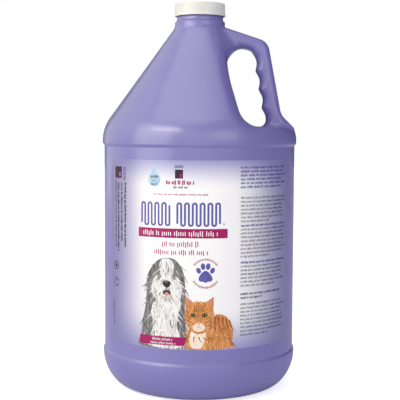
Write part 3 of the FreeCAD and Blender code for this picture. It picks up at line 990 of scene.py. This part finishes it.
def print_sides(rng):
    """Small print right of the front, and lines and marks that read downwards on the left."""
    dark, violet, rose, plum = range(4)
    inks = [ink("ink_text", (46, 42, 66), (62, 56, 84)),
            ink("ink_heading", (66, 50, 140), (80, 62, 152)),
            ink("ink_side_rose", (150, 84, 150), (162, 98, 162)),
            ink("ink_side_plum", (38, 22, 44), (50, 30, 54))]
    layers = right_side_lines(rng, dark, violet)
    # place across, top, length, stroke, ink
    columns = [(-63.2, 164.4, 48.0, 0.74, plum), (-67.6, 164.2, 44.0, 0.62, plum),
               (-72.0, 164.0, 53.0, 0.70, plum), (-75.6, 166.0, 51.0, 0.56, dark),
               (-81.0, 176.6, 57.0, 0.50, rose), (-78.6, 72.6, 18.4, 0.42, dark),
               (-82.0, 72.0, 11.0, 0.40, rose)]
    for s, top, length, stroke, number in columns:
        line = words(rng, 0.0, length, 0.0, 2.1, 0.9, stroke)
        layers.append((standing(line, s, top), ON_FILM, number))
    marks = [bar(-75.9, 167.6, -66.8, 176.4), oval((-74.4, 100.8), 2.4, 2.4)]
    marks += ring((-74.4, 100.8), 3.0, 0.7)
    marks += [ring_arc((-74.4, 87.9), 3.0, 0.9, a, a + 1.6) for a in (0.3, 2.4, 4.5)]
    rings = [half for z in (174.6, 171.2, 167.8) for half in ring((-63.4, z), 1.2, 0.5)]
    layers += [(marks, ON_FILM, plum),
               ([bar(-70.4, 168.8, -67.8, 172.2)], ON_INK, rose),
               (rings, ON_FILM, dark)]
    printed("print_sides", layers, inks)


SLATE, SNOW, LOCK_DARK, LOCK_GREY, LOCK_PALE, LOCK_WHITE, DOG_NOSE, DOG_TONGUE = range(8)


def dog_inks():
    return [fur_ink("dog_slate", (74, 70, 74), (136, 131, 133)),
            fur_ink("dog_snow", (214, 210, 208), (248, 247, 246)),
            ink("dog_lock_dark", (70, 64, 68), (88, 82, 86)),
            ink("dog_lock_grey", (132, 126, 128), (150, 144, 146)),
            ink("dog_lock_pale", (190, 186, 186), (206, 202, 202)),
            ink("dog_lock_white", (240, 239, 238), (250, 249, 249)),
            ink("dog_nose", (26, 22, 24), (44, 38, 40)),
            ink("dog_tongue", (196, 128, 122), (208, 146, 138))]


def falling(s, z):
    """Which way the dog's coat hangs: fanned out on the head, straighter below it."""
    if z > 76:
        return math.atan2(-12.0, (s + 24.5) * 0.9)
    return math.atan2(-12.0, (s + 26.0) * 0.22)


def dog_face():
    """Shaded eyes, open mouth, nose and beard, all above the face's locks."""
    eyes = [loop_through([(-29.9, 99.2), (-31.4, 96.6), (-30.4, 93.6), (-28.6, 96.2)]),
            loop_through([(-18.4, 99.6), (-17.0, 97.0), (-18.0, 94.2), (-19.8, 96.6)])]
    nose = loop_through([(-24, 93.8), (-26.6, 92.8), (-26.9, 90.6), (-24.9, 88.6),
                         (-24, 88.3), (-23.1, 88.6), (-21.1, 90.6), (-21.4, 92.8)])
    beard = [blade((-24 + u, 82.0), 5.0 - abs(u) * 0.5, DOWN + u * 0.05, 0.8, 0.1)
             for u in np.linspace(-3.4, 3.4, 9)]
    return [(eyes, 0.14, LOCK_GREY),
            ([oval((-24.0, 84.6), 6.2, 4.2)], 0.15, DOG_NOSE),
            ([oval((-24.0, 83.7), 4.0, 2.6)], 0.16, DOG_TONGUE),
            ([nose], 0.16, DOG_NOSE),
            ([oval((-24.4, 92.6), 2.4, 0.8)], 0.17, LOCK_GREY),
            ([blade((-24, 88.6), 2.6, DOWN, 0.7)], 0.17, DOG_NOSE),
            (beard, 0.18, LOCK_PALE)]


def print_dog(rng):
    """A long-haired grey and white sheepdog, sitting, in printed locks of fur."""
    coat = loop_through([(-25.1, 110.4), (-31.6, 108.2), (-37.2, 101.9), (-40.4, 94.6),
                         (-40.8, 82.5), (-42.0, 72.3), (-44.2, 61.9), (-45.4, 52.7),
                         (-45.8, 43.6), (-9.6, 43.6), (-9.2, 55.0), (-9.6, 64.5),
                         (-10.2, 74.4), (-9.8, 84.3), (-10.8, 97.2), (-13.2, 104.0),
                         (-18.2, 109.6)])
    chest = loop_through([(-33, 79), (-36, 69), (-35, 60), (-37.5, 51), (-38, 44.2),
                          (-13.6, 44.2), (-13.6, 52), (-16, 60), (-15, 70), (-14.6, 79)])
    face = loop_through([(-25, 110.0), (-28.6, 108.8), (-30.2, 104), (-29.4, 99.4),
                         (-33.4, 96), (-36.2, 89), (-35.4, 82.6), (-31, 77.6), (-24, 75.6),
                         (-17, 77.6), (-13.2, 82.6), (-12.6, 89), (-15.2, 95.6),
                         (-19, 99.4), (-18.6, 105), (-21, 109.2)])
    layers = [([coat], ON_FILM, SLATE), ([chest, face], 0.08, SNOW)]
    layers += fur_layers(rng, [(coat, 110, 6, 0.8, LOCK_DARK),
                               (coat, 100, 6, 0.9, LOCK_GREY),
                               (coat, 60, 6, 0.8, LOCK_PALE)], falling, 0.06, spread=0.16)
    layers += fur_layers(rng, [(chest, 60, 8, 0.8, LOCK_WHITE),
                               (chest, 34, 8, 0.7, LOCK_PALE),
                               (chest, 8, 7, 0.6, LOCK_GREY),
                               (face, 90, 6, 0.7, LOCK_WHITE),
                               (face, 40, 6, 0.6, LOCK_PALE),
                               (face, 8, 5, 0.5, LOCK_GREY)], falling, 0.10)
    printed("print_dog", layers + dog_face(), dog_inks())


GINGER, CREAM, RUST, AMBER, BUFF, PUPIL, EYE, CAT_NOSE = range(8)


def cat_inks():
    return [fur_ink("cat_ginger", (176, 100, 40), (226, 154, 82)),
            fur_ink("cat_cream", (240, 214, 184), (252, 242, 228)),
            ink("cat_lock_rust", (150, 78, 30), (170, 92, 38)),
            ink("cat_lock_ginger", (212, 138, 66), (224, 150, 78)),
            ink("cat_lock_light", (240, 190, 130), (248, 204, 150)),
            ink("cat_pupil", (24, 22, 20), (36, 32, 28)),
            ink("cat_eye", (128, 122, 58), (150, 142, 72)),
            ink("cat_nose", (206, 132, 118), (218, 146, 132))]


def outwards(s, z):
    """Which way the cat's head fur lies: away from the middle of the face."""
    return math.atan2(z - 62.5, s - 0.1) if z > 56 else DOWN + (s - 3) * 0.02


def along_back(s, _):
    """Which way the cat's body fur lies: down the back, turning a little across it."""
    return math.atan2(-1.0, 0.45) + (s - 15) * 0.03


def cat_face():
    """Ears, brow and cheek stripes, muzzle, eyes, nose, mouth and whiskers."""
    ears = [[(-9.2, 81.2), (-8.8, 76.6), (-5.6, 77.8)], [(10.2, 80.9), (9.8, 76.4), (6.4, 77.8)]]
    stripes = [blade((u, 71.4), 5.6, math.pi / 2 + u * 0.05, 0.9)
               for u in (-3.3, -1.6, 0.1, 1.8, 3.5)]
    for side in (-1, 1):
        for rise in (0.0, 2.6, 5.2):
            stripes.append(blade((0.1 + side * 6.0, 60.6 + rise), 4.2,
                                 math.pi / 2 - side * (1.25 - rise * 0.06), 0.9, side * 0.3))
    muzzle = loop_through([(0.1, 63.6), (-2.2, 62.4), (-4.4, 59.6), (-3.0, 57.0), (0.1, 56.2),
                           (3.2, 57.0), (4.6, 59.6), (2.4, 62.4)])
    rims = [oval((-4.2, 68.5), 4.0, 3.0, tilt=-0.15), oval((4.4, 68.5), 4.0, 3.0, tilt=0.15)]
    irises = [oval((-4.1, 68.5), 2.5, 1.9, tilt=-0.15), oval((4.3, 68.5), 2.5, 1.9, tilt=0.15)]
    pupils = [oval((-4.0, 68.5), 1.2, 1.8), oval((4.2, 68.5), 1.2, 1.8)]
    nose = [(-1.2, 63.2), (0.1, 61.6), (1.4, 63.2)]
    mouth = [blade((0.1, 61.7), 1.8, DOWN, 0.4), blade((0.1, 60.2), 2.0, -2.5, 0.35),
             blade((0.1, 60.2), 2.0, -0.64, 0.35)]
    whiskers = [blade((0.1 + side * 3.0, 60.6 - k * 0.9), 7.5,
                      (0.12 - 0.2 * k) if side > 0 else math.pi - 0.12 + 0.2 * k, 0.22)
                for side in (-1, 1) for k in range(3)]
    return [(ears, 0.16, CAT_NOSE), (stripes, 0.16, RUST), ([muzzle], 0.165, CREAM),
            (rims, 0.17, PUPIL), (irises, 0.18, EYE), (pupils, 0.19, PUPIL),
            ([nose], 0.18, CAT_NOSE), (mouth, 0.18, RUST), (whiskers, 0.2, CREAM)]


def print_cat(rng):
    """A ginger tabby lying beside the dog."""
    body = loop_through([(-9.6, 43.6), (-9.4, 51), (-8.0, 58), (0, 60), (8, 62), (11.4, 68.0),
                         (15.4, 69.2), (20.4, 67.3), (24.2, 62.6), (25.8, 55.7), (25.2, 48.7),
                         (23.2, 43.6)])
    head = [(-9.8, 82.6), (-7.2, 80.6), (-4.4, 78.2), (0.2, 78.7), (5.0, 78.1), (8.2, 80.3),
            (10.9, 82.2), (11.0, 77.5), (10.7, 73.4), (11.3, 68.4), (10.0, 62.6), (7.4, 58.2),
            (3.8, 55.4), (0.2, 54.6), (-3.4, 55.4), (-7.2, 58.4), (-9.8, 63.2), (-10.4, 68.6),
            (-9.8, 73.6), (-10.1, 78.0)]
    bib = loop_through([(-5.5, 56.5), (0, 55), (5.0, 56.5), (4.6, 50), (1.5, 44.2),
                        (-5, 44.2), (-7, 50)])
    flanks = [blade((12.5 + 2.6 * k, 67.5 - 0.55 * k * (k - 1) * 0.5), 13.0 - 0.5 * k,
                    DOWN - 0.28 + 0.1 * k, 1.3, 0.4) for k in range(5)]
    legs = [blade((-6.5 + 3.4 * k, 53 - 0.3 * k), 5.5, DOWN - 1.1 + 0.55 * k, 1.0, 0.5)
            for k in range(5)]
    layers = [([body], 0.06, GINGER)]
    layers += fur_layers(rng, [(body, 50, 5, 0.7, AMBER), (body, 40, 5, 0.6, RUST),
                               (body, 40, 5, 0.6, BUFF)], along_back, 0.07)
    layers += [(flanks, 0.095, RUST), ([bib], 0.10, CREAM), (legs, 0.11, RUST),
               ([head], 0.13, GINGER)]
    layers += fur_layers(rng, [(head, 60, 1.9, 0.5, AMBER), (head, 34, 1.9, 0.45, RUST),
                               (head, 60, 1.9, 0.5, BUFF)], outwards, 0.14)
    printed("print_cat", layers + cat_face(), cat_inks())


def print_foot(rng):
    """The ribbon under the dog, with two lines of print on it."""
    magenta, white = range(2)
    inks = [ink("ink_foot_magenta", *MAGENTA_SHADES), ink("ink_foot_white", *WHITE_SHADES)]
    ribbon = [(-46.6, 45.2), (-10.8, 45.6), (-8.9, 51.9), (-46.4, 51.8)]
    layers = [([ribbon], 0.23, magenta),
              (words(rng, -35.4, -20.0, 49.0, 1.7, 0.85, 0.42), 0.26, white),
              (words(rng, -37.0, -17.6, 46.2, 1.7, 0.85, 0.42), 0.26, white)]
    printed("print_foot", layers, inks)


# ---- studio, in metres and watts

FLOOR_REACH = 4.0
FLOOR_GLOW = 0.68
ROOM_TINT = (0.84, 0.84, 1.0, 1.0)
ROOM_STRENGTH = 0.64
WARM = (1.0, 0.97, 0.80)
PALE = (1.0, 1.0, 0.74)

# name, place, height of the point on the axis aimed at, size, watts, colour, gloss only
LIGHTS = [
    ("key", (-0.66, -0.76, 0.80), 0.17, (0.7, 0.2), 4.8, WARM, False),
    ("side", (-1.2, -0.45, 0.25), 0.15, (0.7, 0.9), 1.0, WARM, False),
    ("front", (0.0, -1.7, 0.5), 0.15, (1.0, 1.0), 3.8, WARM, False),
    ("top", (-0.5, -0.3, 1.3), 0.2, (1.6, 1.6), 2.0, WARM, False),
    ("sheen_left", (-1.5, -1.0, 0.7), 0.15, (1.6, 1.8), 36.0, PALE, True),
    ("sheen_back", (-1.3, 0.8, 0.8), 0.15, (1.6, 1.8), 11.0, PALE, True),
    ("sheen_top", (-0.2, -0.25, 1.5), 0.25, (1.4, 1.0), 10.5, PALE, True),
    ("sheen_right", (0.9, -1.5, 0.7), 0.15, (0.9, 0.9), 8.0, PALE, True),
]


def pale_floor():
    """A wide matt floor that looks as white to the camera as the room does."""
    reach = FLOOR_REACH / MM
    corners = [(x * reach, y * reach, 0) for x, y in ((-1, -1), (1, -1), (1, 1), (-1, 1))]
    floor = new_mesh("floor", corners, [(0, 1, 2, 3)])
    n = Nodes("pale_floor")
    n.set("Base Color", (0.9, 0.9, 0.9, 1.0))
    n.set("Roughness", 0.9)
    n.set("Emission Color", (1.0, 1.0, 1.0, 1.0))
    path = n.add("ShaderNodeLightPath")
    n.set("Emission Strength",
          n.maths("MULTIPLY", path.outputs["Is Camera Ray"], FLOOR_GLOW))
    dress(floor, n.material)


def soft_light(name, place, aim_height, size, watts, colour, gloss_only):
    """A rectangular lamp that faces a point on the jug's axis."""
    data = bpy.data.lights.new(name, "AREA")
    data.shape = "RECTANGLE"
    data.size, data.size_y = size
    data.energy = watts
    data.color = colour
    light = add_object(name, data)
    light.location = place
    towards = Vector((0, 0, aim_height)) - Vector(place)
    light.rotation_euler = towards.to_track_quat("-Z", "Y").to_euler()
    light.visible_diffuse = not gloss_only


def white_room():
    """A room that lights the jug softly, looks white, and doesn't show in its gloss."""
    world = bpy.data.worlds.new("studio")
    world.use_nodes = True
    tree = world.node_tree
    soft = tree.nodes["Background"]
    soft.inputs["Color"].default_value = ROOM_TINT
    soft.inputs["Strength"].default_value = ROOM_STRENGTH
    backdrop = tree.nodes.new("ShaderNodeBackground")
    backdrop.inputs["Color"].default_value = (1.0, 1.0, 1.0, 1.0)
    backdrop.inputs["Strength"].default_value = 1.0
    path = tree.nodes.new("ShaderNodeLightPath")
    either = tree.nodes.new("ShaderNodeMixShader")
    link = tree.links.new
    link(path.outputs["Is Camera Ray"], either.inputs[0])
    link(soft.outputs[0], either.inputs[1])
    link(backdrop.outputs[0], either.inputs[2])
    link(either.outputs[0], tree.nodes["World Output"].inputs[0])
    world.cycles_visibility.glossy = False
    bpy.context.scene.world = world
    bpy.context.scene.view_settings.view_transform = "Standard"


place_camera()
dress(make_jug(), jug_material())
dress(make_label(), label_material())
print_front(np.random.default_rng(3))
print_sides(np.random.default_rng(5))
print_dog(np.random.default_rng(7))
print_cat(np.random.default_rng(11))
print_foot(np.random.default_rng(13))
dress(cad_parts["screw_cap"], cap_material())
dress(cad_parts["cap_liner"], liner_material())
pale_floor()
white_room()
for light in LIGHTS:
    soft_light(*light)
